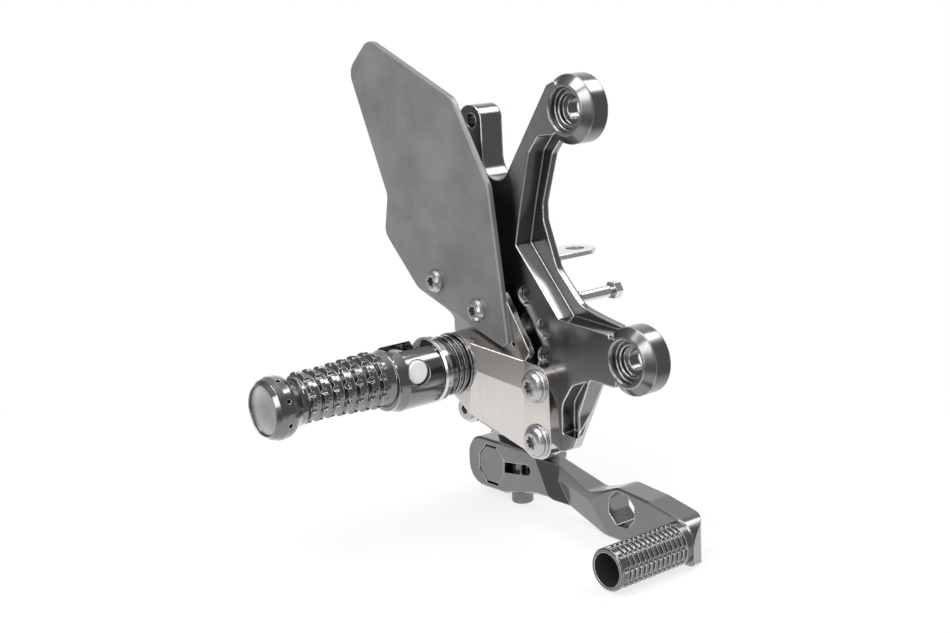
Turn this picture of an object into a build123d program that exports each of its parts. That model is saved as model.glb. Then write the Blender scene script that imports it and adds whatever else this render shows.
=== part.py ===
"""Brake-side rear set footrest of a motorbike: bracket, folding footpeg, heel guard and brake pedal.

Millimetres. The origin is on the axis of the lower frame bolt, on the inboard face that lies on the
frame. X points forwards, Y inboard and Z up, so the footpeg points along -Y, to the rider's right.
"""
from build123d import *
from math import atan2, cos, degrees, hypot, radians, sin
import os

# Frame bolts and main bracket
frame_bolt_x = -31.6
frame_bolt_z = 101.3
plate_thick = 12.0
flange_thick = 3.2
boss_radius = 14.5
boss_bevel = 3.4
boss_sink_radius = 9.0
boss_sink_depth = 3.6
boss_step_radius = 6.6
boss_step_depth = 3.0
frame_bolt_radius = 4.25
edge_break = 0.5

# Master cylinder holes in the ear
ear_x = -91.8
ear_z = 94.6
ear_radius = 6.8
cylinder_hole_pitch = 40.0
cylinder_hole_radius = 3.2
cylinder_lean = 12.0

# Rows of tapped holes that set the peg's position
tapped_radius = 3.4
tapped_sink = 4.2
tapped_pitch = 12.25
tapped_front_x = -49.5
tapped_rear_x = -60.6
tapped_low_z = -41.7
tapped_rear_z = -4.2

# Adapter that carries the peg and the guard
adapter_flange = 6.0
tab_thick = 3.0
tab_hole_x = -62.8
tab_hole_z = -0.5
tab_hole_radius = 1.1
adapter_reach = 18.0
adapter_corner = 8.6
adapter_screw_radius = 4.0
hole_clearance = 0.25
lug_x = -96.2
lug_z = -35.8
lug_radius = 6.8
lug_screw_radius = 3.0
peg_x = -89.5
peg_z = -11.1
hub_radius = 14.0

# Heel guard and its screws
guard_thick = 2.5
guard_screw_radius = 3.0
guard_screw_rear = (-112.4, 21.9)
guard_screw_front = (-83.2, 12.2)

# Footpeg joint
mount_ring_length = 11.6
collar_length = 4.2
collar_radius = 14.6
joint_gap = 0.4
hinge_reach = 60.0
hinge_lift = 4.0
hinge_pin_radius = 3.5
hinge_head_radius = 5.2
tongue_width = 8.0
tongue_radius = 7.6
fork_slot_width = 13.6
fork_radius = 14.6
spring_wire_radius = 0.65
spring_leg = 5.0

# Footpeg barrel
peg_end_reach = 130.0
fork_end_reach = 70.5
barrel_lift = 1.6
crest_start_radius = 12.5
crest_radius = 11.1
ridge_height = 1.8
taper_ridges = 4
ridge_count = 7
ridge_lead = 1.9
cap_lead = 0.75
groove_count = 10
groove_radius = 1.25
cap_radius = 13.4
cap_length = 16.6
disc_radius = 10.4
peg_bore_radius = 5.5

# Brake pedal
pivot_x = -92.0
pivot_z = -64.0
lever_outer_reach = 10.0
lever_thick = 12.0
octagon_flats = 17.3
clamp_clearance = 0.2
lever_end_radius = 17.2
lever_end_height = 24.0
clamp_slot_width = 5.0
relief_radius = 0.55
lever_edge = 0.9
toe_lip = 0.6
toe_end_slant = 6.0
toe_inner_round = 9.0
lever_hole_x = -7.0
lever_hole_z = -65.0
lever_hole_flats = 15.2
pinch_x = -78.0
pinch_radius = 3.0
toe_x = 25.4
toe_z = -71.0
toe_radius = 8.7
toe_length = 40.0
toe_bore_radius = 7.0
toe_ridge_pitch = 2.6
toe_ridge_count = 13
toe_groove_count = 9
toe_thread_end = 3.0

# Pivot housing, shaft and inboard arm
housing_radius = 13.4
housing_length = 17.2
housing_gap = 0.4
bearing_radius = 9.5
bearing_width = 5.0
journal_radius = 5.0
running_clearance = 0.03
arm_thick = 8.0
arm_eye_x = -124.0
arm_eye_z = -66.0
arm_eye_radius = 6.0
arm_hole_radius = 3.05

# Inboard hardware
post_x = -50.0
post_z = 17.0
post_length = 33.6
post_radius = 2.6
spring_plane = 9.0
lever_pin_x = -70.5
lever_pin_z = -56.2
return_wire_radius = 0.6
return_coil_radius = 3.4
switch_x = -60.8
switch_y = 18.4
switch_z = 34.6
switch_hole_radius = 4.2
switch_tab_radius = 9.0
switch_leg_drop = 12.0
switch_screw_drop = 5.6
sheet_thick = 2.0

# Derived places
face_y = -plate_thick
adapter_face_y = face_y - adapter_flange
hub_y = face_y - adapter_reach
ring_end_y = hub_y - mount_ring_length
collar_end_y = ring_end_y - collar_length
hinge_y = -hinge_reach
first_ridge_y = -fork_end_reach - ridge_lead
ridge_pitch = (peg_end_reach - cap_length - cap_lead - fork_end_reach - ridge_lead) / ridge_count
hinge_z = peg_z + hinge_lift
lever_front_y = -lever_outer_reach
lever_back_y = lever_front_y + lever_thick
housing_y = lever_back_y + housing_gap
housing_end_y = housing_y + housing_length
arm_y = housing_end_y + 0.6
switch_screw_z = switch_z - switch_screw_drop


def side(y):
    """Sketch plane across the bike at height y, drawn as seen from outboard."""
    return Plane(origin=(0, y, 0), x_dir=(1, 0, 0), z_dir=(0, -1, 0))


def slab(sketch, inner_y, outer_y):
    """Solid of one side outline between two depths."""
    return extrude(side(inner_y) * sketch, inner_y - outer_y)


def outline(points, radii):
    """Closed face through corner points, each corner with its own round."""
    return make_face(FilletPolyline(*points, radius=radii, close=True))


def rod(x, z, inner_y, outer_y, radius):
    """Cylinder along Y."""
    return slab(Pos(x, z) * Circle(radius), inner_y, outer_y)


def turned(x, z, profile):
    """Body of revolution about a Y axis; profile points are (radius, y)."""
    half = make_face(Polyline(*profile, close=True))
    plane = Plane(origin=(x, 0, z), x_dir=(1, 0, 0), z_dir=(0, 0, 1))
    return revolve(plane * half, Axis((x, 0, z), (0, 1, 0)), 360)


def hull_link(start, end):
    """Outline round two circles (x, z, radius) and the tangents between them."""
    return make_hull((Pos(start[0], start[1]) * Circle(start[2])).edges()
                     + (Pos(end[0], end[1]) * Circle(end[2])).edges())


def torx_recess(x, z, top_y, across, depth):
    """Six-lobed driver recess cut into a screw head whose top is at top_y."""
    lobes = Circle(across * 0.36)
    for index in range(6):
        lobes += Rot(0, 0, index * 60) * Pos(across * 0.36, 0) * Circle(across * 0.14)
    return slab(Pos(x, z) * lobes, top_y + depth, top_y)


def hex_recess(x, z, top_y, flats, depth):
    """Hexagon socket open towards -Y."""
    return slab(Pos(x, z) * RegularPolygon(flats / 2, 6, major_radius=False), top_y + depth, top_y)


def button_screw(x, z, seat_y, head_radius, head_height, shank_radius, end_y, recess):
    """Button-head screw with its head outboard of seat_y and its shank ending at end_y."""
    top_y = seat_y - head_height
    profile = [
        (0, end_y), (shank_radius - 0.4, end_y), (shank_radius, end_y - 0.4), (shank_radius, seat_y),
        (head_radius, seat_y), (head_radius, seat_y - head_height * 0.35),
        (head_radius * 0.86, seat_y - head_height * 0.72), (head_radius * 0.62, top_y), (0, top_y),
    ]
    return turned(x, z, profile) - torx_recess(x, z, top_y, recess, head_height * 0.6)


# Main bracket, one piece of billet
def cylinder_holes():
    """Places of the two master cylinder holes, on a line that leans forwards."""
    lean = radians(cylinder_lean)
    lower = (ear_x - cylinder_hole_pitch * sin(lean), ear_z - cylinder_hole_pitch * cos(lean))
    return [(ear_x, ear_z), lower]


def tapped_places():
    """Open tapped holes of the position pattern and the two that hold the adapter."""
    front = [(tapped_front_x, tapped_low_z + tapped_pitch * step) for step in range(5)]
    rear = [(tapped_rear_x, tapped_rear_z + tapped_pitch * step) for step in range(3)]
    return front, rear


def spine_outline():
    """Full-thickness part: upper arm, ear, plate and leg."""
    lower_hole = cylinder_holes()[1]
    points = [
        (frame_bolt_x - 9.7, frame_bolt_z + 9.9), (-85.2, 50.5),
        (ear_x + ear_radius, ear_z + ear_radius), (ear_x - ear_radius, ear_z + ear_radius),
        (lower_hole[0] - 7.2, lower_hole[1] + 4), (lower_hole[0] - 7.2, lower_hole[1] - 7),
        (-97.5, 30), (-97.5, -22), (lug_x - 7.4, lug_z + 3), (lug_x - 2, lug_z - 7.4),
        (-84, -47), (-39.5, -46.2), (-28.3, -41), (-28.6, -27), (-20, -8),
        (-8.4, 10.4), (-39.3, 12.7), (-65.4, 42), (-60.8, 60.2), (-54.2, 82.9), (-48, 90.0), (-38, 91.0),
        (frame_bolt_x, frame_bolt_z), (frame_bolt_x - 4.8, frame_bolt_z + 11.8),
    ]
    radii = [1, 9, 6.6, 6.6, 6, 6, 12, 8, 6, 6, 6, 2, 4, 6, 1, 1, 1.2, 1.2, 2, 2, 2, 2, 1, 1]
    return outline(points, radii)


def flange_outline():
    """Thin web that stands forwards of the spine, along the frame side."""
    points = [
        (-36, 100), (-62, 80), (-70, 40), (-45, 0), (0, 0), (0, 9.8), (-23, 14.5),
        (-35, 17.6), (-49, 32), (-56.4, 52), (-56.4, 60), (-49, 82), (-42, 89.5),
    ]
    return outline(points, [1, 1, 1, 1, 1, 2, 12, 12, 14, 6, 6, 5, 5])


def leg_pocket():
    """Pocket in the leg under the lower arm, with a thin rib on its forward side."""
    points = [(-22.4, -11.6), (-32.5, -15.4), (-39.4, -25.0), (-39.8, -38.0), (-30.2, -38.4), (-30.0, -25.6)]
    return outline(points, [0.6, 6, 9, 1, 1, 5])


def leg_bevel():
    """Wedge that slants the leg's forward face back towards the frame."""
    plane = Plane(origin=(-25.0, 0, -15.0), x_dir=(-15.4, 0, -30.0), z_dir=(15.6, 8.6, -8.0))
    return extrude(plane * Rectangle(90, 60), 30)


def boss(x, z):
    """Round boss with a bevelled outboard face."""
    profile = [
        (0, 0), (boss_radius - edge_break, 0), (boss_radius, -edge_break), (boss_radius, face_y + boss_bevel),
        (boss_radius - boss_bevel * 1.15, face_y), (0, face_y),
    ]
    return turned(x, z, profile)


def boss_sink(x, z):
    """Stepped counterbore for the frame bolt, with a bevelled mouth."""
    floor = face_y + boss_sink_depth
    step = floor + boss_step_depth
    profile = [
        (0, 1), (frame_bolt_radius, 1), (frame_bolt_radius, step), (boss_step_radius, step - 0.8),
        (boss_step_radius, floor), (boss_sink_radius, floor), (boss_sink_radius, face_y + 0.8),
        (boss_sink_radius + 0.8, face_y), (boss_sink_radius + 0.8, face_y - 1), (0, face_y - 1),
    ]
    return turned(x, z, profile)


def pivot_arm():
    """Inboard arm of the bracket that ends in the pedal's pivot housing."""
    top = (-84.0, -31.0)
    arm = slab(hull_link((pivot_x, pivot_z, housing_radius), (top[0], top[1], 11)), housing_y + 11, housing_y)
    foot = slab(hull_link((top[0] + 7, top[1] + 7, 8), (top[0], top[1], 11)), housing_y + 11, -1)
    housing = rod(pivot_x, pivot_z, housing_end_y, housing_y, housing_radius)
    return arm + foot + housing


def pivot_bore():
    """Bore of the pivot housing: a bearing seat at each end and a shoulder between them."""
    seat = rod(pivot_x, pivot_z, housing_end_y + 1, housing_end_y - bearing_width - 0.4, bearing_radius)
    front = rod(pivot_x, pivot_z, housing_y + bearing_width + 0.4, housing_y - 1, bearing_radius)
    middle = rod(pivot_x, pivot_z, housing_end_y, housing_y, bearing_radius - 1.6)
    return seat + front + middle


def main_bracket():
    """Bracket milled from one billet."""
    body = slab(spine_outline(), 0, face_y)
    body += slab(flange_outline(), 0, -flange_thick)
    body -= slab(leg_pocket(), -5.0, face_y - 1)
    body -= leg_bevel()
    for x, z in ((0, 0), (frame_bolt_x, frame_bolt_z)):
        body += boss(x, z)
    body += slab(lower_arm_outline(), 0, face_y)
    for x, z in ((0, 0), (frame_bolt_x, frame_bolt_z)):
        body -= boss_sink(x, z)
    body += pivot_arm()
    body -= pivot_bore()
    front, rear = tapped_places()
    sink_end = face_y + tapped_sink - tapped_radius
    tapped = [(0, 1), (tapped_radius, 1), (tapped_radius, sink_end), (tapped_sink, face_y),
              (tapped_sink, face_y - 1), (0, face_y - 1)]
    for x, z in front + rear:
        body -= turned(x, z, tapped)
    for x, z in cylinder_holes():
        body -= rod(x, z, 1, face_y - 1, cylinder_hole_radius)
    body -= rod(lug_x, lug_z, 1, face_y - 1, lug_screw_radius + 0.1)
    body -= rod(post_x, post_z, 1, -9, post_radius + 0.1)
    body -= rod(switch_x, switch_screw_z, 1, -9, 2.6)
    return body


def lower_arm_outline():
    """Full-thickness arm to the lower frame bolt."""
    points = [
        (-40, 12.6), (-45, -12), (-38, -20), (-30.5, -13.0), (-20, -11.0), (-6, -11.6), (-6, 9.4), (-15, 8.2),
    ]
    return outline(points, [1, 2, 4, 7, 8, 1, 1, 3])


# Adapter between bracket and footpeg
def adapter():
    """Milled adapter: screw flange, ramp out to the peg hub, guard tab and rear lug."""
    low = tapped_low_z
    high = low + 2 * tapped_pitch
    front = tapped_front_x + adapter_corner
    flange = outline(
        [(front, high + adapter_corner), (-66, high + 11.2), (-80, -26), (-66, -43.5),
         (tapped_front_x - 4, low - 8.6), (front, low - 7.6)],
        [7.5, 3, 3, 3, 6, 8.2])
    tab = outline(
        [(-52, -3.0), (-68.5, 21.5), (-104, 32), (-121, 26), (-119, 14), (-103.8, 6), (-103.8, -8),
         (-60, -12)],
        [2, 3, 10, 7, 6, 3, 2, 2])
    body = slab(flange, face_y, adapter_face_y) + slab(tab, adapter_face_y + tab_thick, adapter_face_y)
    for x, z in (guard_screw_rear, guard_screw_front):
        body += rod(x, z, face_y, adapter_face_y, 5.6)
    body += slab(hull_link((lug_x, lug_z, lug_radius), (peg_x + 6, peg_z - 8, 9)), face_y, adapter_face_y)
    block = outline(
        [(-54, high + 9.2), (-66, -4.0), (-84, 1.9), (-98, 1.9), (-103.5, -11.5), (-99, -22.8), (-89, -27.2),
         (-59, -48.3), (-54, -50.0)],
        [1, 2, 10, 10, 10, 10, 6, 2, 1])
    ramp = slab(block, face_y, hub_y)
    upper = Plane(origin=(-56.5, adapter_face_y, -22), x_dir=(0, 0, 1), z_dir=(11.6, -20.5, 0))
    lower = Plane(origin=(-56.8, adapter_face_y, -22), x_dir=(0.1, 0, -1), z_dir=(10.9, -20.5, -1.8))
    ramp -= extrude(upper * Rectangle(160, 120), 40)
    ramp -= extrude(lower * Rectangle(160, 120), 40)
    body += ramp
    body += rod(peg_x, peg_z, face_y, hub_y, hub_radius)
    for step in (0, 2):
        z = low + tapped_pitch * step
        body -= rod(tapped_front_x, z, 0, -40, adapter_screw_radius + hole_clearance)
        body -= rod(tapped_front_x, z, adapter_face_y, -40, 7.8)
    body -= rod(lug_x, lug_z, 0, -40, lug_screw_radius + hole_clearance)
    body -= rod(peg_x, peg_z, 0, -40, adapter_screw_radius + hole_clearance)
    body -= rod(peg_x, peg_z, 0, face_y - 8.5, 7.0)
    for x, z in (guard_screw_rear, guard_screw_front):
        body -= rod(x, z, 0, -40, guard_screw_radius - 0.2)
    body -= rod(tab_hole_x, tab_hole_z, 0, -40, tab_hole_radius)
    return body


def adapter_screws():
    """Two flanged screws that hold the adapter on the bracket."""
    screws = []
    seat = adapter_face_y
    flange = [(0, seat), (7.5, seat), (7.5, seat - 0.8), (7.1, seat - 1.2), (0, seat - 1.2)]
    for step in (0, 2):
        z = tapped_low_z + tapped_pitch * step
        screw = button_screw(tapped_front_x, z, seat - 0.9, 6.6, 3.0, tapped_radius - 0.1, -1.0, 6.2)
        screws.append(screw + turned(tapped_front_x, z, flange))
    return screws


def lug_screw():
    """Low-head socket screw through the rear lug."""
    seat = adapter_face_y
    profile = [(0, -1), (lug_screw_radius, -1), (lug_screw_radius, seat), (5.0, seat), (5.0, seat - 2.4),
               (4.6, seat - 2.8), (0, seat - 2.8)]
    return turned(lug_x, lug_z, profile) - hex_recess(lug_x, lug_z, seat - 2.8, 4.0, 2.0)


# Heel guard
def heel_guard():
    """Flat guard plate with a swept-back top, edges broken all round."""
    points = [
        (-63.3, -3.6), (-72.3, 68.0), (-94.4, 105.1), (-154.8, 130.8), (-171.9, 115.9), (-146.8, 58.5),
        (-150.6, 40.4), (-127.0, 16.6), (-104.0, 8.8),
    ]
    shape = outline(points, [3.5, 8, 9, 9, 8, 7, 7, 10, 6])
    plate = slab(shape, adapter_face_y, adapter_face_y - guard_thick)
    plate = chamfer(plate.edges().group_by(Axis.Y)[0], 0.5)
    for x, z in (guard_screw_rear, guard_screw_front):
        plate -= rod(x, z, 0, -40, guard_screw_radius + hole_clearance)
    return plate


def guard_screws():
    """Two button screws that hold the guard on the adapter's tab."""
    seat = adapter_face_y - guard_thick
    return [button_screw(x, z, seat, 5.3, 3.3, guard_screw_radius - 0.25, face_y - 1.0, 5.0)
            for x, z in (guard_screw_rear, guard_screw_front)]


# Folding footpeg
def peg_mount():
    """Grooved base ring with the hinge tongue that the fork sits over."""
    ring = hub_radius - 0.6
    step = mount_ring_length / 4
    profile = [(0, hub_y), (hub_radius, hub_y), (hub_radius, hub_y - 1.6)]
    for index in range(3):
        y = hub_y - 1.6 - step * index
        profile += [(ring - 1.0, y - 0.3), (ring - 1.0, y - 1.1), (ring, y - 1.5), (ring, y - step)]
    profile += [(ring, ring_end_y), (9.0, ring_end_y), (9.0, collar_end_y), (0, collar_end_y)]
    body = turned(peg_x, peg_z, profile)
    plane = Plane(origin=(peg_x - fork_slot_width / 2 + 0.3, 0, 0), x_dir=(0, 1, 0), z_dir=(1, 0, 0))
    tongue = Pos(hinge_y, hinge_z) * Circle(tongue_radius)
    root = Polyline((collar_end_y, hinge_z - tongue_radius), (collar_end_y, peg_z + 8.4),
                    (hinge_y, hinge_z + tongue_radius), (hinge_y, hinge_z - tongue_radius), close=True)
    body += extrude(plane * (make_face(root) + tongue), tongue_width)
    body -= Pos(peg_x, hinge_y, hinge_z) * Rot(0, 90, 0) * Cylinder(hinge_pin_radius + running_clearance, 40)
    body -= rod(peg_x, peg_z, 0, hub_y - 14, adapter_screw_radius - 0.5)
    return body


def peg_mount_screw():
    """Socket screw from inboard that pulls the mount on to the adapter's hub."""
    seat = face_y - 8.5
    shank = adapter_screw_radius - 0.6
    profile = [(0, seat + 8.0), (6.4, seat + 8.0), (6.4, seat), (adapter_screw_radius, seat),
               (adapter_screw_radius, hub_y + 0.2), (shank, hub_y), (shank, hub_y - 13), (0, hub_y - 13)]
    socket = slab(Pos(peg_x, peg_z) * RegularPolygon(3, 6, major_radius=False), seat + 9, seat + 4)
    return turned(peg_x, peg_z, profile) - socket


def stop_collar():
    """Bright ring that the fork rests against when the peg is down."""
    profile = [(9.1, ring_end_y), (collar_radius - 1.2, ring_end_y), (collar_radius, ring_end_y - 1.2),
               (collar_radius, collar_end_y + 0.8), (collar_radius - 0.8, collar_end_y), (9.1, collar_end_y)]
    return turned(peg_x, peg_z, profile)


def fork_blank():
    """Turned inner end of the barrel, down to the neck before the ridges."""
    fork_y = collar_end_y - joint_gap
    neck = -fork_end_reach
    return turned(peg_x, peg_z, [
        (0, fork_y), (fork_radius - 0.8, fork_y), (fork_radius, fork_y - 0.8), (fork_radius, neck + 5.2),
        (fork_radius - 1.4, neck + 1.6), (fork_radius - 1.4, neck + 0.4), (fork_radius - 3, neck), (0, neck)])


def cap_blank():
    """Turned flared end of the barrel, dished to take the end disc."""
    end = -peg_end_reach
    return turned(peg_x, peg_z, [
        (0, end + cap_length), (9.6, end + cap_length), (10.4, end + cap_length - 3.4),
        (cap_radius - 0.4, end + cap_length - 7.4), (cap_radius, end + cap_length - 9.0),
        (cap_radius, end + 4.6), (cap_radius - 1.0, end + 2.0),
        (disc_radius + 0.5, end + 0.2), (disc_radius + 0.1, end + 0.2), (disc_radius + 0.1, end + 1.4),
        (0, end + 1.4)])


def ridge_crest(index):
    """Crest radius of one ring ridge; the first few step down from the fork."""
    share = min(index / taper_ridges, 1.0)
    return crest_start_radius + (crest_radius - crest_start_radius) * share


def ridged_barrel():
    """Ring ridges between fork and cap, set higher than the peg's axis, cut by lengthwise grooves."""
    start = -fork_end_reach + 1.0
    end = first_ridge_y - ridge_pitch * ridge_count - 2.0
    profile = [(0, start), (fork_radius - 2.6, start)]
    for index in range(ridge_count):
        y = first_ridge_y - ridge_pitch * index
        crest = ridge_crest(index)
        profile += [(crest - ridge_height, y - 0.4), (crest - ridge_height, y - ridge_pitch * 0.42),
                    (crest, y - ridge_pitch * 0.6), (crest, y - ridge_pitch + 0.6)]
    profile += [(crest_radius - ridge_height, end + 1.6), (crest_radius - ridge_height, end), (0, end)]
    axis_z = peg_z + barrel_lift
    body = turned(peg_x, axis_z, profile)
    for index in range(groove_count):
        angle = radians(360 * (index + 0.5) / groove_count)
        first = Vector(peg_x + (crest_start_radius + 0.2) * cos(angle), start - 1.4,
                       axis_z + (crest_start_radius + 0.2) * sin(angle))
        last = Vector(peg_x + (crest_radius + 0.2) * cos(angle), start - 1.4 - ridge_pitch * taper_ridges,
                      axis_z + (crest_radius + 0.2) * sin(angle))
        body -= groove_cutter(first, last)
        body -= rod(last.X, last.Z, last.Y, end, groove_radius)
    return body


def groove_cutter(first, last):
    """Round-bottomed cutter between two points."""
    direction = last - first
    return Plane(origin=first, z_dir=direction) * Cylinder(
        groove_radius, direction.length, align=(Align.CENTER, Align.CENTER, Align.MIN))


def cross_hole(x, y, z, radius, length, angle=90, align=Align.CENTER):
    """Cylinder across the peg, along X by default."""
    cutter = Cylinder(radius, length, align=(Align.CENTER, Align.CENTER, align))
    return Pos(x, y, z) * Rot(0, angle, 0) * cutter


def folding_peg():
    """Folding barrel with a slotted fork, broken ring ridges and drilled end."""
    body = fork_blank() + ridged_barrel() + cap_blank()
    for index in range(8):
        angle = 22.5 + 45 * index
        place = Pos(peg_x, -peg_end_reach + 5.6, peg_z) * Rot(0, angle, 0) * Pos(cap_radius, 0, 0)
        body -= place * Rot(0, 90, 0) * Cylinder(1.0, 4.0)
    floor_z = hinge_z - tongue_radius - 0.6
    slot_end = hinge_y - tongue_radius - 1.0
    body -= Pos(peg_x, slot_end, floor_z) * Box(
        fork_slot_width, 60, 60, align=(Align.CENTER, Align.MIN, Align.MIN))
    swing_radius = abs(hinge_y - collar_end_y) - joint_gap
    shell = Pos(peg_x, hinge_y, hinge_z) * Box(40, 60, 60, align=(Align.CENTER, Align.MIN, Align.MIN))
    shell -= cross_hole(peg_x, hinge_y, hinge_z, swing_radius, 41)
    body -= shell
    body -= cross_hole(peg_x, hinge_y, hinge_z, hinge_pin_radius + 0.05, 60)
    seat = fork_slot_width / 2 + 4.4
    body -= cross_hole(peg_x + seat, hinge_y, hinge_z, hinge_head_radius + 0.3, 20, 90, Align.MIN)
    body -= cross_hole(peg_x - seat, hinge_y, hinge_z, hinge_head_radius + 0.3, 20, -90, Align.MIN)
    body -= rod(peg_x, peg_z, slot_end - 4, -peg_end_reach - 1, peg_bore_radius)
    return body


def hinge_pin():
    """Hinge pin along X with a flat round head at its forward end and a clip groove."""
    head = peg_x + fork_slot_width / 2 + 4.4
    tail = peg_x - fork_slot_width / 2 - 7.0
    plane = Plane(origin=(0, hinge_y, hinge_z), x_dir=(1, 0, 0), z_dir=(0, -1, 0))
    groove = tail + 1.4
    profile = [(head + 1.9, 0), (head + 1.9, hinge_head_radius - 0.5), (head + 1.4, hinge_head_radius),
               (head, hinge_head_radius), (head, hinge_pin_radius), (groove + 1.0, hinge_pin_radius),
               (groove + 1.0, hinge_pin_radius - 0.7), (groove, hinge_pin_radius - 0.7),
               (groove, hinge_pin_radius), (tail + 0.4, hinge_pin_radius), (tail, hinge_pin_radius - 0.4),
               (tail, 0)]
    half = plane * make_face(Polyline(*profile, close=True))
    return revolve(half, Axis((0, hinge_y, hinge_z), (1, 0, 0)), 360)


def clip_ring(inner, outer, gap):
    """Flat open ring in the XY plane."""
    return Circle(outer) - Circle(inner) - Pos(outer, 0) * Rectangle(2 * outer, gap)


def hinge_clip():
    """Open clip in the groove of the hinge pin."""
    groove = peg_x - fork_slot_width / 2 - 5.5
    plane = Plane(origin=(groove, hinge_y, hinge_z), x_dir=(0, 0, -1), z_dir=(1, 0, 0))
    return extrude(plane * clip_ring(hinge_pin_radius - 0.65, hinge_pin_radius + 1.3, 3.2), 0.8)


def fold_spring():
    """Torsion spring beside the tongue, with a leg to the collar and a leg under the fork."""
    wire = spring_wire_radius
    coil_x = peg_x - fork_slot_width / 2 + 0.3 + tongue_width + 0.4 + wire
    mean = hinge_pin_radius + 0.5 + wire
    turns = 3
    section = Pos(coil_x, mean) * Circle(wire)
    for index in range(1, turns):
        section += Pos(coil_x + index * wire * 1.9, mean) * Circle(wire)
    plane = Plane(origin=(0, hinge_y, hinge_z), x_dir=(1, 0, 0), z_dir=(0, -1, 0))
    coil = revolve(plane * section, Axis((0, hinge_y, hinge_z), (1, 0, 0)), 360)
    leg_length = hinge_y - collar_end_y
    inner = Pos(coil_x, hinge_y, hinge_z + mean) * Rot(-90, 0, 0) * Cylinder(
        wire, abs(leg_length) - 0.3, align=(Align.CENTER, Align.CENTER, Align.MIN))
    outer = Pos(coil_x + (turns - 1) * wire * 1.9, hinge_y, hinge_z - mean) * Rot(90, 0, 0) * Cylinder(
        wire, spring_leg, align=(Align.CENTER, Align.CENTER, Align.MIN))
    return coil + inner + outer


def peg_end_disc():
    """Satin disc that plugs the barrel's end."""
    end = -peg_end_reach
    plug = peg_bore_radius - 0.05
    return turned(peg_x, peg_z, [
        (0, end + 9), (plug, end + 9), (plug, end + 1.4), (disc_radius, end + 1.4), (disc_radius, end + 0.3),
        (disc_radius - 0.4, end), (0, end)])


# Brake pedal
def octagon(flats):
    """Octagon with flats square to the lever."""
    return Rot(0, 0, 22.5) * RegularPolygon(flats / 2, 8, major_radius=False)


def lever_outline():
    """Side outline of the brake lever from its clamp to the toe end."""
    half = lever_end_height / 2
    back_x = pivot_x - lever_end_radius
    tip_x = toe_x + toe_radius + toe_lip
    points = [
        (back_x, pivot_z + half), (-64, pivot_z + half), (-58.5, -54.6), (-27.5, -62.2), (-20, -60.0),
        (-9.5, -55.8), (9, -57.6), (tip_x, -63.0), (tip_x, -80.2), (-17, -79.4), (-54, -70.9), (-62, -71.2),
        (-84, pivot_z - half), (back_x, pivot_z - half),
    ]
    return outline(points, [10, 4, 6, 8, 5, 8, 8, 11.5, 5, 12, 8, 8, 6, 10])


def falling_side(point, away, slope):
    """Half space outboard of a plane that leaves the lever's face at a point and falls inboard."""
    reach = hypot(away[0], away[1])
    fall = radians(slope)
    normal = (away[0] / reach * sin(fall), -cos(fall), away[1] / reach * sin(fall))
    plane = Plane(origin=(point[0], lever_front_y, point[1]), z_dir=normal)
    return extrude(plane * Rectangle(200, 200), 60)


def lever_waist():
    """Cutter for the facets of the lever's waist: two towards the toe and one towards the clamp."""
    vertex = (-26.8, -66.0)
    toe_side = falling_side(vertex, (-0.493, 0.870), 14) + falling_side(vertex, (-0.729, -0.684), 14)
    return toe_side & falling_side((-58.0, -61.0), (0.891, 0.453), 30)


def toe_end_plan():
    """Upright prism that slants and rounds the toe end inboard, as seen from above."""
    tip_x = toe_x + toe_radius + toe_lip
    rear_x = pivot_x - 2 * lever_end_radius
    front_y = lever_front_y - 1
    plan = FilletPolyline(
        (rear_x, front_y), (tip_x, front_y), (tip_x - toe_end_slant, lever_back_y), (rear_x, lever_back_y),
        radius=[0, 0, toe_inner_round, 0], close=True)
    return Pos(0, 0, pivot_z - 30) * extrude(make_face(plan), 60)


def clamp_relief(angle):
    """Narrow slot along one flat of the clamp's octagon, with round ends at its corners."""
    reach = (octagon_flats / 2 + clamp_clearance) / cos(radians(22.5))
    ends = []
    for turn in (radians(angle - 22.5), radians(angle + 22.5)):
        ends.append((pivot_x + reach * cos(turn), pivot_z + reach * sin(turn), relief_radius))
    return slab(hull_link(*ends), lever_back_y + 1, lever_front_y - 1)


def brake_lever():
    """Lever with a slotted clamp on the pivot octagon and a boss for the toe peg."""
    body = slab(lever_outline(), lever_back_y, lever_front_y)
    body = chamfer(body.edges().group_by(Axis.Y)[0], lever_edge)
    body -= lever_waist()
    body &= toe_end_plan()
    body -= slab(Pos(pivot_x, pivot_z) * octagon(octagon_flats + 2 * clamp_clearance), 20, -30)
    for angle in (90, 270):
        body -= clamp_relief(angle)
    reach = (octagon_flats / 2 + clamp_clearance) / cos(radians(22.5))
    half = clamp_slot_width / 2
    body -= slab(hull_link((pivot_x + 5, pivot_z + 0.2, half), (-67.2, pivot_z + 2.9, half)), 20, -30)
    body -= slab(Pos(lever_hole_x, lever_hole_z) * octagon(lever_hole_flats), 20, -30)
    for angle in (22.5, 202.5):
        turn = radians(angle)
        body -= rod(pivot_x + reach * cos(turn), pivot_z + reach * sin(turn), 20, -30, relief_radius)
    middle_y = (lever_front_y + lever_back_y) / 2
    body -= Pos(pinch_x, middle_y, pivot_z - 14) * Cylinder(
        pinch_radius + 0.25, 25, align=(Align.CENTER, Align.CENTER, Align.MIN))
    body -= Pos(pinch_x, middle_y, pivot_z - 9.6) * Cylinder(
        5.6, 10, align=(Align.CENTER, Align.CENTER, Align.MAX))
    body -= rod(toe_x, toe_z, lever_back_y - toe_thread_end, -30, pinch_radius + 0.2)
    body -= rod(lever_pin_x, lever_pin_z, lever_back_y + 1, lever_back_y - 4, 2.1)
    return body


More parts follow.
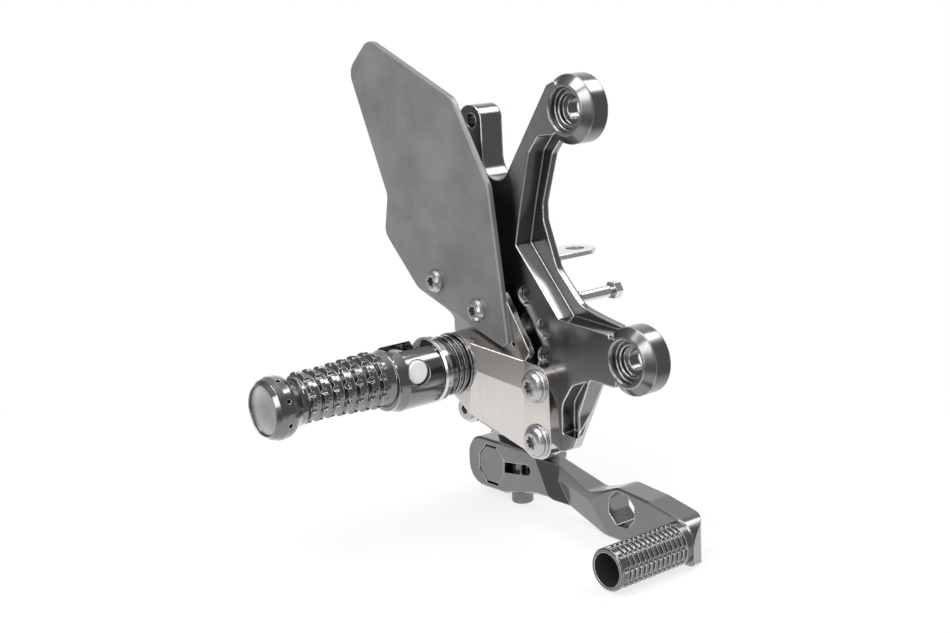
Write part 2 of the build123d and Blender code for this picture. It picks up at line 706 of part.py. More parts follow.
def pinch_screw():
    """Socket screw that closes the clamp from below."""
    middle_y = (lever_front_y + lever_back_y) / 2
    seat = pivot_z - 9.6
    place = Pos(pinch_x, middle_y, seat)
    shank = place * Cylinder(pinch_radius, 20, align=(Align.CENTER, Align.CENTER, Align.MIN))
    head = place * Cylinder(5.0, 6.0, align=(Align.CENTER, Align.CENTER, Align.MAX))
    head = chamfer(head.edges().group_by(Axis.Z)[0], 0.5)
    socket = Pos(pinch_x, middle_y, seat - 6.0) * extrude(RegularPolygon(2.5, 6, major_radius=False), 3.0)
    return shank + head - socket


def toe_peg():
    """Toe peg with rows of fine ridges and an open end."""
    start = lever_front_y
    ridge_start = start - 3.6
    profile = [(0, start), (toe_radius, start), (toe_radius, ridge_start)]
    for index in range(toe_ridge_count):
        y = ridge_start - toe_ridge_pitch * index
        profile += [(toe_radius - 1.0, y - 0.5), (toe_radius - 1.0, y - 1.1), (toe_radius, y - 1.7),
                    (toe_radius, y - toe_ridge_pitch)]
    end = start - toe_length
    profile += [(toe_radius, end + 0.6), (toe_radius - 0.6, end), (toe_bore_radius, end),
                (toe_bore_radius, start - 9), (pinch_radius + 0.2, start - 9), (pinch_radius + 0.2, start)]
    body = turned(toe_x, toe_z, profile[1:])
    for index in range(toe_groove_count):
        angle = radians(360 * (index + 0.25) / toe_groove_count)
        x = toe_x + (toe_radius + 0.1) * cos(angle)
        z = toe_z + (toe_radius + 0.1) * sin(angle)
        body -= rod(x, z, ridge_start, end + 1.4, 0.9)
    return body


def toe_screw():
    """Socket screw inside the toe peg that holds it on the lever."""
    seat = lever_front_y - 9
    end = lever_back_y - toe_thread_end - 0.4
    profile = [(0, end), (pinch_radius, end), (pinch_radius, seat), (5.0, seat), (5.0, seat - 6),
               (0, seat - 6)]
    return turned(toe_x, toe_z, profile) - hex_recess(toe_x, toe_z, seat - 6, 5.0, 3.0)


def pivot_shaft():
    """Shaft with the clamp octagon outboard, two journals and a small octagon for the arm."""
    body = slab(Pos(pivot_x, pivot_z) * octagon(octagon_flats), lever_back_y, lever_front_y)
    body = chamfer(body.edges().group_by(Axis.Y)[0], 0.5)
    journal = journal_radius - running_clearance
    body += rod(pivot_x, pivot_z, arm_y, lever_back_y, journal)
    body += slab(Pos(pivot_x, pivot_z) * octagon(journal * 1.8), arm_y + arm_thick - 0.3, arm_y)
    body -= slab(Pos(pivot_x, pivot_z) * Circle(2.5), arm_y + arm_thick + 1, arm_y - 8)
    return body


def bearing(start_y):
    """Sealed ball bearing with a dished shield on each side."""
    end_y = start_y + bearing_width
    inner = journal_radius
    inner_lip = inner + 1.2
    outer = bearing_radius - 0.02
    outer_lip = bearing_radius - 1.3
    return turned(pivot_x, pivot_z, [
        (inner, start_y), (inner_lip, start_y), (inner_lip, start_y + 0.4), (outer_lip, start_y + 0.4),
        (outer_lip, start_y), (outer, start_y), (outer, end_y), (outer_lip, end_y), (outer_lip, end_y - 0.4),
        (inner_lip, end_y - 0.4), (inner_lip, end_y), (inner, end_y)])


def actuating_arm():
    """Inboard arm from the shaft back to the brake cylinder's push rod."""
    shape = hull_link((pivot_x, pivot_z, 9.5), (arm_eye_x, arm_eye_z, arm_eye_radius))
    body = slab(shape, arm_y + arm_thick, arm_y)
    body -= slab(Pos(pivot_x, pivot_z) * octagon((journal_radius - running_clearance) * 1.8 + 0.1), 60, -60)
    body -= rod(arm_eye_x, arm_eye_z, 60, -60, arm_hole_radius)
    slot = hull_link((pivot_x - 14.5, pivot_z - 0.8, 2.6), (pivot_x - 21.5, pivot_z - 1.3, 2.0))
    body -= slab(slot, 60, -60)
    return body


def arm_screw():
    """Button screw and washer that hold the arm on the shaft."""
    seat = arm_y + arm_thick
    profile = [(0, seat - 9), (2.4, seat - 9), (2.4, seat), (7.0, seat), (7.0, seat + 1.0), (4.8, seat + 1.0),
               (4.8, seat + 2.2), (3.2, seat + 3.6), (0, seat + 3.6)]
    body = turned(pivot_x, pivot_z, profile)
    socket = Pos(pivot_x, pivot_z) * RegularPolygon(2.0, 6, major_radius=False)
    return body - slab(socket, seat + 5, seat + 1.8)


def spring_post():
    """Bright post on the bracket with a neck for the spring and a hexagon head."""
    groove = spring_plane
    body = turned(post_x, post_z, [
        (0, -8), (post_radius, -8), (post_radius, 0), (3.6, 0), (3.6, 2.0), (post_radius, 2.0),
        (post_radius, groove - 1.2), (post_radius - 0.7, groove - 0.8), (post_radius - 0.7, groove + 0.8),
        (post_radius, groove + 1.2), (post_radius, post_length - 6.5), (1.9, post_length - 6.0),
        (1.9, post_length - 4.2), (0, post_length - 4.2)])
    hexagon = Pos(post_x, post_z) * RegularPolygon(3.6, 6, major_radius=False)
    head = slab(hexagon, post_length - 0.6, post_length - 4.4)
    tip = rod(post_x, post_z, post_length, post_length - 1, 2.3)
    return body + head + tip


def lever_spring_pin():
    """Pin on the lever's inboard face that the return spring pulls."""
    x, z = lever_pin_x, lever_pin_z
    groove = spring_plane
    return turned(x, z, [
        (0, lever_back_y - 3.6), (2.0, lever_back_y - 3.6), (2.0, lever_back_y), (3.2, lever_back_y),
        (3.2, lever_back_y + 1.2), (2.0, lever_back_y + 1.6), (2.0, groove - 0.9), (1.5, groove - 0.7),
        (1.5, groove + 0.7), (2.0, groove + 0.9), (2.8, groove + 1.1), (2.8, groove + 2.4),
        (0, groove + 2.4)])


def return_spring():
    """Close-wound tension spring from the post down to the lever's pin, with a hook at each end."""
    wire = return_wire_radius
    start = (post_x, post_z)
    end = (lever_pin_x, lever_pin_z)
    length = hypot(end[0] - start[0], end[1] - start[1])
    turn = degrees(atan2(end[1] - start[1], end[0] - start[0]))
    upper_hook = post_radius - 0.7 + 0.15 + wire
    lower_hook = 1.5 + 0.15 + wire
    coil_start = 16.0
    coil_end = length - 12.0
    turns = int((coil_end - coil_start) / (wire * 1.9))
    lean = radians(turn)
    local = Plane(origin=(start[0], spring_plane, start[1]), x_dir=(cos(lean), 0, sin(lean)),
                  z_dir=(0, -1, 0))
    pitch = (coil_end - coil_start) / turns
    valley = return_coil_radius - wire * 0.7
    section = [(coil_start, return_coil_radius - 2 * wire), (coil_start, valley)]
    for index in range(turns):
        section.append((coil_start + pitch * (index + 0.5), return_coil_radius))
        section.append((coil_start + pitch * (index + 1), valley))
    section.append((coil_end, return_coil_radius - 2 * wire))
    body = revolve(local * make_face(Polyline(*section, close=True)), Axis(local.origin, local.x_dir), 360)
    for centre, radius, reach, sign in ((0, upper_hook, coil_start, 1), (length, lower_hook, coil_end, -1)):
        ring = local * Pos(centre, 0, 0) * Torus(radius, wire)
        shank = abs(reach - centre) - radius
        stem_plane = Plane(local * Pos(centre + sign * radius, 0, 0))
        body += ring
        stem = Cylinder(wire, shank, align=(Align.CENTER, Align.CENTER, Align.MIN))
        body += local * Pos(centre + sign * radius, 0, 0) * Rot(0, 90 * sign, 0) * stem
        body += local * Pos(reach, 0, 0) * Rot(0, 90, 0) * Cylinder(return_coil_radius - wire, wire * 1.6)
    return body


def switch_bracket():
    """Folded zinc tab for the brake light switch."""
    top = switch_z + sheet_thick
    half = switch_tab_radius
    shape = hull_link((switch_x, switch_y, half), (switch_x, half / 2, half))
    shape &= Pos(switch_x, switch_y) * Rectangle(2 * switch_y, 2 * switch_y)
    shelf = extrude(Pos(0, 0, switch_z) * shape, sheet_thick)
    shelf -= Pos(switch_x, switch_y, switch_z) * Cylinder(switch_hole_radius, 10)
    left = switch_x - half
    right = switch_x + half
    foot_z = top - switch_leg_drop
    leg = outline([(left, top), (right, top), (right, foot_z), (left, foot_z)], [0, 0, 4, 4])
    back = slab(leg, sheet_thick, 0)
    back -= rod(switch_x, switch_screw_z, 10, -10, 2.8)
    return shelf + back


def switch_screw():
    """Button screw that holds the switch tab on the bracket."""
    x, z = switch_x, switch_screw_z
    seat = sheet_thick
    top = seat + 2.6
    profile = [(0, -8), (2.5, -8), (2.5, seat), (4.6, seat), (4.6, seat + 1.0), (3.2, top), (0, top)]
    return turned(x, z, profile) - slab(
        Pos(x, z) * RegularPolygon(1.5, 6, major_radius=False), seat + 4, seat + 1.2)


def save(name, shape):
    """Write one node; a list is a group of separate solids."""
    if isinstance(shape, list):
        shape = Compound(children=[item.solid() for item in shape])
    export_step(shape, "parts/" + name + ".step")


os.makedirs("parts", exist_ok=True)
save("main_bracket", main_bracket())
save("peg_adapter", adapter())
save("adapter_screws", adapter_screws())
save("lug_screw", lug_screw())
save("heel_guard", heel_guard())
save("heel_guard_screws", guard_screws())
save("peg_mount", peg_mount())
save("peg_mount_screw", peg_mount_screw())
save("stop_collar", stop_collar())
save("hinge_pin", hinge_pin())
save("hinge_clip", hinge_clip())
save("fold_spring", fold_spring())
save("folding_peg", folding_peg())
save("peg_end_disc", peg_end_disc())
save("brake_lever", brake_lever())
save("pinch_screw", pinch_screw())
save("toe_peg", toe_peg())
save("toe_peg_screw", toe_screw())
save("pivot_shaft", pivot_shaft())
save("outer_bearing", bearing(housing_y + 0.2))
save("inner_bearing", bearing(housing_end_y - bearing_width - 0.2))
save("actuating_arm", actuating_arm())
save("arm_screw", arm_screw())
save("spring_post", spring_post())
save("lever_spring_pin", lever_spring_pin())
save("return_spring", return_spring())
save("switch_bracket", switch_bracket())
save("switch_screw", switch_screw())
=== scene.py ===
"""Studio scene for the brake-side rear set: finishes, wound springs, cut threads, lamps and camera."""
import logging
import math
from dataclasses import dataclass
from enum import Enum
from typing import ClassVar, Sequence

import bpy
from mathutils import Matrix, Vector


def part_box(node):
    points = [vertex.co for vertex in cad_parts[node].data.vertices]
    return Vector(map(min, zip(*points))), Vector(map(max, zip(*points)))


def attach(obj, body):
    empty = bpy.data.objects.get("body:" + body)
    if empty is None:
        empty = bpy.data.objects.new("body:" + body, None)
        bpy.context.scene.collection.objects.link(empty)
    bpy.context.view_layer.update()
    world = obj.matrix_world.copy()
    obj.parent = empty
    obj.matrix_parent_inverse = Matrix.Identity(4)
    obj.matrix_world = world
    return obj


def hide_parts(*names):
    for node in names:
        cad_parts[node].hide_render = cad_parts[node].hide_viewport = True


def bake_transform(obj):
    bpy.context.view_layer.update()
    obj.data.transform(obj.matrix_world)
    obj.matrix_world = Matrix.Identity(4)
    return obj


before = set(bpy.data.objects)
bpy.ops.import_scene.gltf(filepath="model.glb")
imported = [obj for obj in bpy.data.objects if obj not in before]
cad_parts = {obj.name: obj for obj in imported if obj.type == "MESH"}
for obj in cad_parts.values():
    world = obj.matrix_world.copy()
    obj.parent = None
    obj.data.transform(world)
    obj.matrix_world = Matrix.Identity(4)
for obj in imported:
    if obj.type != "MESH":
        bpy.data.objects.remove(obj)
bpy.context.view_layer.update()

LOG = logging.getLogger("rear_set")
MM = 0.001
MERGE = 1e-6
SMOOTH_ANGLE = math.radians(35.0)
WHITE = (1.0, 1.0, 1.0, 1.0)
NOISE_RANGE = (0.3, 0.7)
Colour = tuple[float, float, float]
Point = tuple[float, float, float]
Pair = tuple[float, float]
Socket = bpy.types.NodeSocket
OpenGroup = tuple["Tree", bpy.types.Node, bpy.types.Node]


class Surface(Enum):
    """How the metal's skin was left by the shop."""

    MILLED = "milled"
    TURNED = "turned"
    BLASTED = "blasted"


class Tree:
    """Small writer for one node tree."""

    SPACING = 180
    MIX_FIRST, MIX_SECOND, MIX_RESULT = 6, 7, 2

    def __init__(self, nodes: bpy.types.NodeTree) -> None:
        """Start from an empty tree.

        Args:
            nodes: The tree to write.
        """
        self.tree = nodes
        self.tree.nodes.clear()
        self.column = 0

    def add(self, kind: str, **settings: object) -> bpy.types.Node:
        """Add a node and set its plain properties.

        Args:
            kind: Blender's type name, without the ShaderNode prefix.
            settings: Properties of the node.

        Returns:
            The new node.
        """
        name = kind if kind.startswith("Node") else "ShaderNode" + kind
        node = self.tree.nodes.new(name)
        node.location = (self.column, 0)
        self.column += self.SPACING
        for key, value in settings.items():
            setattr(node, key, value)
        return node

    def feed(self, node: bpy.types.Node, socket: str | int, value: object) -> None:
        """Give a socket a value, or a link when the value is a socket.

        Args:
            node: The node that is fed.
            socket: Name or place of its input.
            value: A number, colour, vector or output socket.
        """
        if isinstance(value, Socket):
            self.tree.links.new(value, node.inputs[socket])
        else:
            node.inputs[socket].default_value = value

    def place(self) -> Socket:
        """Object coordinates of the shaded point."""
        return self.add("TexCoord").outputs["Object"]

    def sums(self, operation: str, first: object, second: object = 0.0, clamp: bool = False) -> Socket:
        """One Math node.

        Args:
            operation: Its operation.
            first: First operand.
            second: Second operand.
            clamp: Keep the result between 0 and 1.

        Returns:
            The node's output.
        """
        node = self.add("Math", operation=operation, use_clamp=clamp)
        self.feed(node, 0, first)
        self.feed(node, 1, second)
        return node.outputs[0]

    def along(self, vector: Socket, direction: Point | Socket) -> Socket:
        """Length of a vector's part along a direction.

        Args:
            vector: The vector.
            direction: A unit vector, or a socket that gives one.

        Returns:
            The signed length.
        """
        node = self.add("VectorMath", operation="DOT_PRODUCT")
        self.feed(node, 0, vector)
        self.feed(node, 1, direction)
        return node.outputs["Value"]

    def remap(self, value: object, low: float, high: float, to_low: object, to_high: object) -> Socket:
        """One clamped Map Range node.

        Args:
            value: What is mapped.
            low: Start of the range it comes from.
            high: End of that range.
            to_low: Start of the range it goes to.
            to_high: End of that range.

        Returns:
            The node's output.
        """
        node = self.add("MapRange")
        for place, number in enumerate((value, low, high, to_low, to_high)):
            self.feed(node, place, number)
        return node.outputs[0]

    def blend(self, factor: object, first: object, second: object) -> Socket:
        """One colour Mix node.

        Args:
            factor: Share of the second colour.
            first: Colour or socket at 0.
            second: Colour or socket at 1.

        Returns:
            The mixed colour.
        """
        node = self.add("Mix", data_type="RGBA")
        self.feed(node, 0, factor)
        self.feed(node, self.MIX_FIRST, first)
        self.feed(node, self.MIX_SECOND, second)
        return node.outputs[self.MIX_RESULT]

    def noise(self, place: object, scale: object, detail: float = 2.0, rough: float = 0.5) -> Socket:
        """One Noise Texture node.

        Args:
            place: Where it is read.
            scale: Its scale, a number or a socket.
            detail: Its detail.
            rough: Its roughness.

        Returns:
            The factor output.
        """
        node = self.add("TexNoise")
        self.feed(node, "Vector", place)
        self.feed(node, "Scale", scale)
        node.inputs["Detail"].default_value = detail
        node.inputs["Roughness"].default_value = rough
        return node.outputs["Fac"]


class ShopGroups:
    """Shader node groups that more than one finish places."""

    SKIN_OUTPUTS: ClassVar[dict[str, str]] = {"Height": "Float", "Tone": "Float"}
    SAMPLES = 8
    PIT_DETAIL = 3.0
    CLOUD_SCALE = 42.0
    CLOUD_DETAIL = 4.0
    CLOUD_ROUGH = 0.62
    GRAIN_SHARE = 0.45
    RING_DETAIL = 2.0
    ROW_DETAIL = 4.0
    ROW_TURN = (0.0, 0.5, 0.35)
    ROW_STRETCH = (1.0, 0.12, 0.06)
    WIPE_DETAIL = 5.0
    WIPE_ROUGH = 0.6
    OPEN_SKY = (0.15, 0.75)

    def __init__(self) -> None:
        """Build each group once."""
        self.edges = self._edges()
        self.handling = self._handling()
        self.corners = self._painted_corner_shade()
        self.skins = {
            Surface.BLASTED: self._blast(),
            Surface.TURNED: self._turning(),
            Surface.MILLED: self._milling(),
        }

    @staticmethod
    def _group(name: str, inputs: dict[str, float], outputs: dict[str, str]) -> OpenGroup:
        """Open a new group.

        Args:
            name: Its name.
            inputs: Float inputs with their defaults.
            outputs: Names of its outputs with their kinds.

        Returns:
            Its tree, its input node and its output node.
        """
        group = bpy.data.node_groups.new(name, "ShaderNodeTree")
        tree = Tree(group)
        for label, value in inputs.items():
            socket = group.interface.new_socket(label, in_out="INPUT", socket_type="NodeSocketFloat")
            socket.default_value = value
        for label, kind in outputs.items():
            group.interface.new_socket(label, in_out="OUTPUT", socket_type="NodeSocket" + kind)
        return tree, tree.add("NodeGroupInput"), tree.add("NodeGroupOutput")

    def _edges(self) -> bpy.types.NodeTree:
        """Mask of the broken edges, which lightens them as a painted highlight, and the normal of the small
        round on them.

        Returns:
            The group.
        """
        tree, given, out = self._group(
            "BrokenEdges", {"Width": 0.0005, "Gain": 3.0}, {"Mask": "Float", "Normal": "Vector"})
        bevel = tree.add("Bevel", samples=self.SAMPLES)
        tree.feed(bevel, "Radius", given.outputs["Width"])
        flat = tree.add("NewGeometry").outputs["Normal"]
        turn = tree.sums("SUBTRACT", 1.0, tree.along(bevel.outputs[0], flat))
        tree.feed(out, "Mask", tree.sums("MULTIPLY", turn, given.outputs["Gain"], True))
        tree.feed(out, "Normal", bevel.outputs[0])
        return tree.tree

    def _blast(self) -> bpy.types.NodeTree:
        """Fine pits of a bead-blasted skin, with slow clouds from the nozzle's passes.

        Returns:
            The group.
        """
        tree, given, out = self._group("BlastedSkin", {"Scale": 1500.0}, self.SKIN_OUTPUTS)
        place = tree.place()
        fine = tree.noise(place, given.outputs["Scale"], self.PIT_DETAIL)
        clouds = tree.noise(place, self.CLOUD_SCALE, self.CLOUD_DETAIL, self.CLOUD_ROUGH)
        tree.feed(out, "Height", fine)
        wide = tree.remap(clouds, *NOISE_RANGE, 0.0, 1.0)
        grain = tree.sums("MULTIPLY", fine, self.GRAIN_SHARE)
        slow = tree.sums("MULTIPLY", wide, 1.0 - self.GRAIN_SHARE)
        tree.feed(out, "Tone", tree.sums("ADD", grain, slow))
        return tree.tree

    def _turning(self) -> bpy.types.NodeTree:
        """Fine rings round a lathe axis that lies along Y.

        Returns:
            The group.
        """
        tree, given, out = self._group("TurnedRings", {"Rings": 2600.0}, self.SKIN_OUTPUTS)
        travel = tree.along(tree.place(), (0.0, 1.0, 0.0))
        rings = tree.add("TexNoise", noise_dimensions="1D")
        tree.feed(rings, "W", tree.sums("MULTIPLY", travel, given.outputs["Rings"]))
        rings.inputs["Scale"].default_value = 1.0
        rings.inputs["Detail"].default_value = self.RING_DETAIL
        tree.feed(out, "Height", rings.outputs["Fac"])
        tree.feed(out, "Tone", rings.outputs["Fac"])
        return tree.tree

    def _milling(self) -> bpy.types.NodeTree:
        """Faint cutter rows left by an end mill.

        Returns:
            The group.
        """
        tree, given, out = self._group("MilledRows", {"Rows": 900.0}, self.SKIN_OUTPUTS)
        turned = tree.add("Mapping")
        turned.inputs["Rotation"].default_value = self.ROW_TURN
        turned.inputs["Scale"].default_value = self.ROW_STRETCH
        tree.feed(turned, "Vector", tree.place())
        rows = tree.noise(turned.outputs[0], given.outputs["Rows"], self.ROW_DETAIL)
        tree.feed(out, "Height", rows)
        tree.feed(out, "Tone", rows)
        return tree.tree

    def _handling(self) -> bpy.types.NodeTree:
        """Broad uneven gloss, as left by wiping and handling.

        Returns:
            The group.
        """
        tree, given, out = self._group("WipedGloss", {"Scale": 35.0}, {"Tone": "Float"})
        wiped = tree.noise(tree.place(), given.outputs["Scale"], self.WIPE_DETAIL, self.WIPE_ROUGH)
        tree.feed(out, "Tone", wiped)
        return tree.tree

    def _painted_corner_shade(self) -> bpy.types.NodeTree:
        """Mask of painted shade in deep recesses and inside corners, darkening the metal where less light
        reaches.

        Returns:
            The group.
        """
        tree, given, out = self._group("PaintedCornerShade", {"Reach": 0.004, "Share": 0.5}, {"Mask": "Float"})
        painted_shade = tree.add("AmbientOcclusion", samples=self.SAMPLES, only_local=True)
        tree.feed(painted_shade, "Distance", given.outputs["Reach"])
        closed = tree.remap(painted_shade.outputs["AO"], *self.OPEN_SKY, 1.0, 0.0)
        tree.feed(out, "Mask", tree.sums("MULTIPLY", closed, given.outputs["Share"]))
        return tree.tree


@dataclass(frozen=True)
class Finish:
    """One metal finish of the set.

    Lengths are metres. Each spread and share is a part of the whole: tone_spread of the colour, the edge
    share of the pale edge colour on broken edges, part bare metal and part painted highlight, and the corner
    share of the painted shade that darkens recesses and inside corners, up to the corner reach across.
    """

    label: str
    colour: Colour
    edge_highlight_colour: Colour
    surface: Surface
    metallic: float = 1.0
    rough: float = 0.3
    rough_spread: float = 0.05
    grain: float = 900.0
    relief: float = 0.1
    relief_depth: float = 0.02 * MM
    tone_spread: float = 0.1
    edge_width: float = 0.5 * MM
    edge_gain: float = 4.5
    edge_highlight_share: float = 0.8
    coat: float = 0.0
    coat_rough: float = 0.15
    painted_shade: float = 0.5
    painted_shade_reach: float = 4.0 * MM

    DEEP_SHADE: ClassVar[float] = 0.15

    def tone(self, factor: float) -> tuple[float, ...]:
        """The colour made lighter or darker, with its alpha.

        Args:
            factor: What each part of it is multiplied by.

        Returns:
            The new colour.
        """
        return tuple(min(part * factor, 1.0) for part in self.colour) + (1.0,)

    def material(self, groups: ShopGroups) -> bpy.types.Material:
        """Build the material.

        Args:
            groups: The shared effects.

        Returns:
            The finished material.
        """
        made = bpy.data.materials.new(self.label)
        made.use_nodes = True
        tree = Tree(made.node_tree)
        skin = tree.add("Group", node_tree=groups.skins[self.surface])
        skin.inputs[0].default_value = self.grain
        edges = tree.add("Group", node_tree=groups.edges)
        edges.inputs["Width"].default_value = self.edge_width
        edges.inputs["Gain"].default_value = self.edge_gain
        wiped = tree.add("Group", node_tree=groups.handling)
        corners = tree.add("Group", node_tree=groups.corners)
        corners.inputs["Share"].default_value = self.painted_shade
        corners.inputs["Reach"].default_value = self.painted_shade_reach
        deep, light = self.tone(1.0 - self.tone_spread), self.tone(1.0 + self.tone_spread)
        body = tree.blend(skin.outputs["Tone"], deep, light)
        # Painted highlight: broken edges lightened towards the pale edge colour, part bare metal and part
        # painted highlight.
        share = tree.sums("MULTIPLY", edges.outputs["Mask"], self.edge_highlight_share)
        edge_wear_and_highlight = tree.blend(share, body, self.edge_highlight_colour + (1.0,))
        low, high = self.rough - self.rough_spread, self.rough + self.rough_spread
        gloss = tree.remap(wiped.outputs["Tone"], *NOISE_RANGE, low, high)
        bump = tree.add("Bump")
        bump.inputs["Strength"].default_value = self.relief
        bump.inputs["Distance"].default_value = self.relief_depth
        tree.feed(bump, "Height", skin.outputs["Height"])
        tree.feed(bump, "Normal", edges.outputs["Normal"])
        shader = tree.add("BsdfPrincipled")
        # Painted shade: recesses and inside corners darkened towards the deep tone by the occlusion mask.
        shaded = tree.blend(corners.outputs["Mask"], edge_wear_and_highlight, self.tone(self.DEEP_SHADE))
        tree.feed(shader, "Base Color", shaded)
        tree.feed(shader, "Roughness", gloss)
        tree.feed(shader, "Normal", bump.outputs["Normal"])
        shader.inputs["Metallic"].default_value = self.metallic
        shader.inputs["Coat Weight"].default_value = self.coat
        shader.inputs["Coat Roughness"].default_value = self.coat_rough
        tree.feed(tree.add("OutputMaterial"), "Surface", shader.outputs[0])
        return made


class FinishBook:
    """Every finish of the set, each built the first time a piece is dressed in it."""

    BRACKET = Finish(
        "bracket_black", (0.22, 0.22, 0.225), (0.85, 0.85, 0.86), Surface.MILLED,
        rough=0.2, grain=700.0, relief=0.12, tone_spread=0.16, coat=0.25,
        edge_width=1.2 * MM, edge_gain=6.5, edge_highlight_share=0.95, painted_shade=0.75, painted_shade_reach=6.0 * MM)
    PEG_BLACK = Finish(
        "peg_black", (0.19, 0.19, 0.192), (0.85, 0.85, 0.86), Surface.TURNED,
        rough=0.14, grain=2600.0, tone_spread=0.12, coat=1.0, coat_rough=0.08,
        edge_gain=5.0, painted_shade=0.9, painted_shade_reach=2.0 * MM)
    TOE_BLACK = Finish(
        "toe_peg_black", (0.12, 0.12, 0.122), (0.85, 0.85, 0.86), Surface.TURNED,
        metallic=0.7, rough=0.18, grain=2600.0, tone_spread=0.12, coat=0.4,
        edge_gain=7.0, painted_shade=0.85, painted_shade_reach=1.4 * MM)
    ADAPTER = Finish(
        "champagne_alloy", (0.70, 0.668, 0.638), (0.93, 0.91, 0.88), Surface.MILLED,
        rough=0.19, rough_spread=0.03, grain=1100.0, relief=0.16, tone_spread=0.05,
        edge_width=0.6 * MM, edge_highlight_share=0.7)
    GUARD = Finish(
        "blasted_guard", (0.245, 0.246, 0.248), (0.72, 0.72, 0.73), Surface.BLASTED,
        metallic=0.6, rough=0.4, grain=2200.0, relief=0.25, relief_depth=0.03 * MM, tone_spread=0.34,
        edge_width=0.9 * MM, edge_gain=6.0)
    LEVER = Finish(
        "gunmetal_lever", (0.20, 0.202, 0.206), (0.85, 0.85, 0.86), Surface.BLASTED,
        rough=0.16, grain=2000.0, coat=0.3, edge_gain=7.0, edge_highlight_share=0.9, painted_shade=0.7)
    ZINC = Finish(
        "zinc_screws", (0.54, 0.545, 0.56), (0.8, 0.8, 0.82), Surface.BLASTED,
        rough=0.28, grain=1800.0, tone_spread=0.08, edge_width=0.3 * MM, edge_highlight_share=0.6, painted_shade=0.95)
    PLATED = Finish(
        "plated_tab", (0.80, 0.80, 0.82), (0.95, 0.95, 0.95), Surface.MILLED,
        grain=1300.0, tone_spread=0.06, edge_width=0.4 * MM, edge_highlight_share=0.6, painted_shade=0.4)
    BRIGHT = Finish(
        "bright_steel", (0.74, 0.74, 0.74), (0.95, 0.95, 0.95), Surface.TURNED,
        rough=0.16, grain=3200.0, relief=0.16, tone_spread=0.08, edge_width=0.3 * MM, edge_highlight_share=0.6)
    PIN_STEEL = Finish(
        "pin_steel", (0.92, 0.92, 0.92), (0.95, 0.95, 0.95), Surface.BLASTED,
        metallic=0.3, rough=0.22, grain=1500.0, relief=0.06, tone_spread=0.05,
        edge_width=0.3 * MM, edge_highlight_share=0.6)
    DARK_STEEL = Finish(
        "blacked_steel", (0.18, 0.18, 0.185), (0.6, 0.6, 0.6), Surface.TURNED,
        rough=0.26, grain=2200.0, edge_width=0.3 * MM, edge_highlight_share=0.7, painted_shade=0.8)
    DISC = Finish(
        "satin_disc", (0.74, 0.74, 0.745), (0.9, 0.9, 0.9), Surface.BLASTED,
        metallic=0.9, rough=0.32, grain=2400.0, relief=0.2, tone_spread=0.22,
        edge_width=0.3 * MM, edge_highlight_share=0.5, painted_shade=0.3)
    WIRE = Finish(
        "spring_wire", (0.66, 0.66, 0.67), (0.8, 0.8, 0.8), Surface.BLASTED,
        rough=0.22, grain=1400.0, relief=0.08, edge_width=0.1 * MM, edge_highlight_share=0.3)

    def __init__(self) -> None:
        """Build the shared groups."""
        self.groups = ShopGroups()
        self.made: dict[str, bpy.types.Material] = {}

    def dress(self, piece: bpy.types.Object, finish: Finish) -> None:
        """Put a finish on every slot of an object.

        Args:
            piece: The object.
            finish: The finish.
        """
        if finish.label not in self.made:
            self.made[finish.label] = finish.material(self.groups)
        if not piece.material_slots:
            piece.data.materials.append(self.made[finish.label])
        for slot in piece.material_slots:
            slot.link = "OBJECT"
            slot.material = self.made[finish.label]


def deselect() -> None:
    """Leave nothing selected."""
    if bpy.context.object and bpy.context.object.mode != "OBJECT":
        bpy.ops.object.mode_set(mode="OBJECT")
    bpy.ops.object.select_all(action="DESELECT")


def centre(node: str) -> Vector:
    """Middle of a CAD node's box.

    Args:
        node: Its name.

    Returns:
        The point in the set's frame.
    """
    low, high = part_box(node)
    return (Vector(low) + Vector(high)) / 2


def arc_points(count: int, start: float, end: float) -> list[Pair]:
    """Cosines and sines along an arc.

    Args:
        count: How many steps it takes.
        start: First angle in degrees.
        end: Last angle in degrees.

    Returns:
        The pairs.
    """
    angles = [math.radians(start + (end - start) * step / count) for step in range(count + 1)]
    return [(math.cos(angle), math.sin(angle)) for angle in angles]


def poly_path(points: Sequence[Sequence[float]]) -> bpy.types.Curve:
    """Straight-sided path, left as the active object.

    Args:
        points: Its points.

    Returns:
        The object's curve.
    """
    deselect()
    bpy.ops.curve.primitive_nurbs_path_add(location=(0, 0, 0))
    curve = bpy.context.object.data
    curve.splines.clear()
    spline = curve.splines.new("POLY")
    spline.points.add(len(points) - 1)
    for place, point in zip(spline.points, points):
        place.co = (*point, 1.0)
    return curve


def active_mesh(name: str) -> bpy.types.Object:
    """Make the active object a mesh, and name it.

    Args:
        name: Its name.

    Returns:
        The object.
    """
    bpy.ops.object.convert(target="MESH")
    piece = bpy.context.object
    piece.name = piece.data.name = name
    return piece


def wire_piece(name: str, points: Sequence[Vector], radius: float) -> bpy.types.Object:
    """Round wire along a path, made a mesh.

    Args:
        name: Name of the piece.
        points: Path in the set's frame.
        radius: Wire radius.

    Returns:
        The mesh object.
    """
    wire = poly_path(points)
    wire.bevel_depth = radius
    wire.bevel_resolution = 2
    wire.use_fill_caps = True
    piece = active_mesh(name)
    bpy.ops.object.shade_smooth()
    deselect()
    return piece


